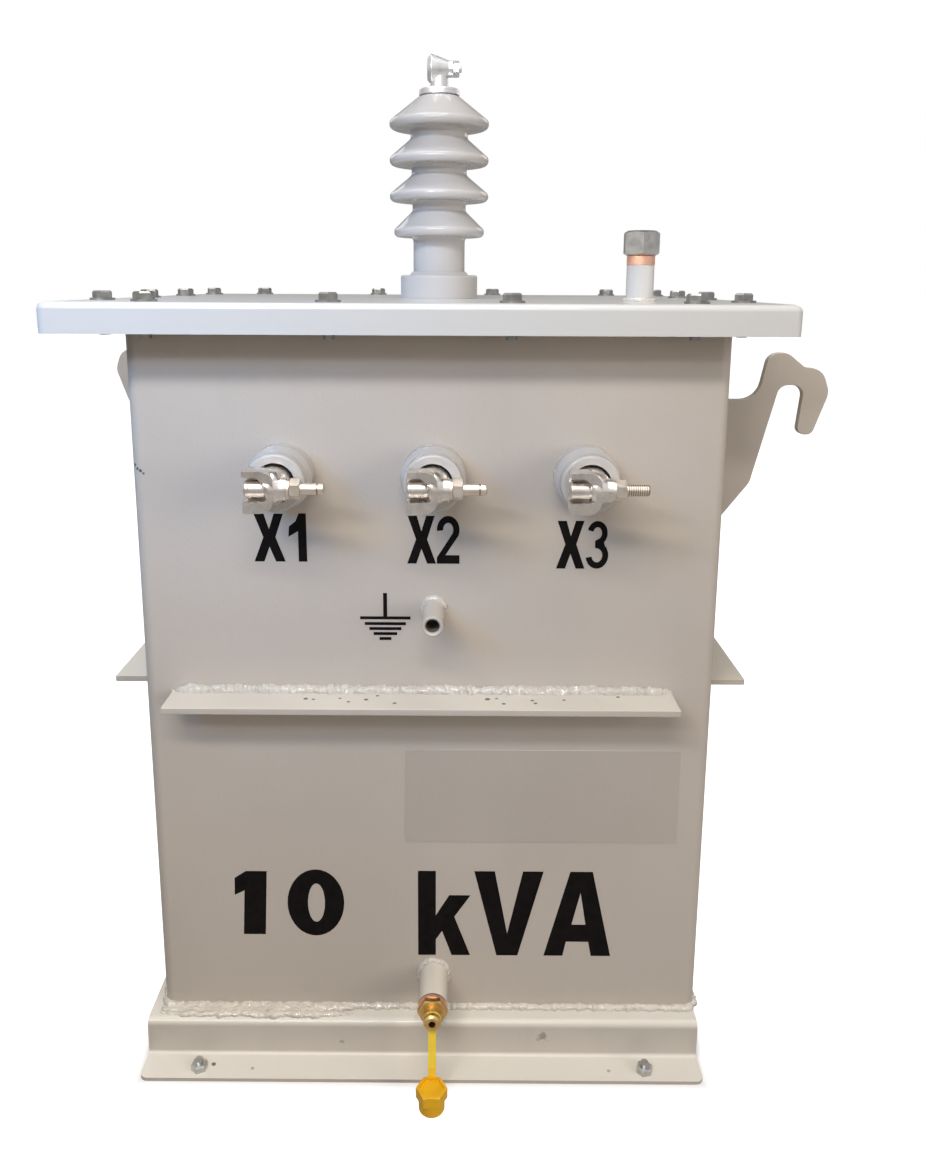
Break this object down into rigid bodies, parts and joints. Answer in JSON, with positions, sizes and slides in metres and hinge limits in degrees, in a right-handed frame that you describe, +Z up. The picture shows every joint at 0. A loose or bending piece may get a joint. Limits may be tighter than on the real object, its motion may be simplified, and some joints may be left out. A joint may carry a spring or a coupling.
{
  "type": "pole-mounted distribution transformer",
  "caption": "Rectangular welded transformer tank on bent sheet feet, with a bolted cover, a ribbed high-voltage bushing, low-voltage clamp terminals and hook lifting lugs.",
  "frame": {"origin": "middle of the foot-bolt pattern, on the floor under the tank", "axes": "+Z up, +X to the viewer's right, front with the low-voltage terminals looking along -Y"},
  "size_m": [0.6532, 0.5077, 0.8119],
  "materials": {
    "tank_paint": "gloss light grey paint",
    "cover_paint": "gloss near-white grey paint",
    "gasket": "matt",
    "insulator": "glossy light grey",
    "aluminium": "bright cast",
    "zinc": "zinc plated",
    "brass": "turned",
    "copper": "copper sealing ring",
    "yellow_cap": "moulded"
  },
  "bodies": {
    "root": {"tank_shell": "tank_paint", "tank_floor": "tank_paint", "tank_flange": "tank_paint", "cover_gasket": "gasket", "cover": "cover_paint", "foot_front": "tank_paint", "foot_back": "tank_paint", "stiffener_front": "tank_paint", "stiffener_back": "tank_paint", "stiffener_left": "tank_paint", "stiffener_right": "tank_paint", "lifting_lug_left": "tank_paint", "lifting_lug_right": "tank_paint", "hv_collar": "insulator", "hv_bushing": "insulator", "hv_cap": "aluminium", "hv_terminal": "aluminium", "hv_clamp_bolt": "zinc", "filler_pipe": "cover_paint", "filler_washer": "copper", "filler_cap": "zinc", "lv_bushing_1": "insulator", "lv_bushing_2": "insulator", "lv_bushing_3": "insulator", "lv_connector_1": "aluminium", "lv_connector_2": "aluminium", "lv_connector_3": "aluminium", "lv_keeper_1": "aluminium", "lv_keeper_2": "aluminium", "lv_keeper_3": "aluminium", "lv_clamp_bolt_1": "zinc", "lv_clamp_bolt_2": "zinc", "lv_clamp_bolt_3": "zinc", "earth_boss": "tank_paint", "drain_coupling": "tank_paint", "drain_washer": "copper", "drain_valve": "brass", "drain_strap": "yellow_cap", "drain_cap": "yellow_cap"}
  },
  "joints": []
}
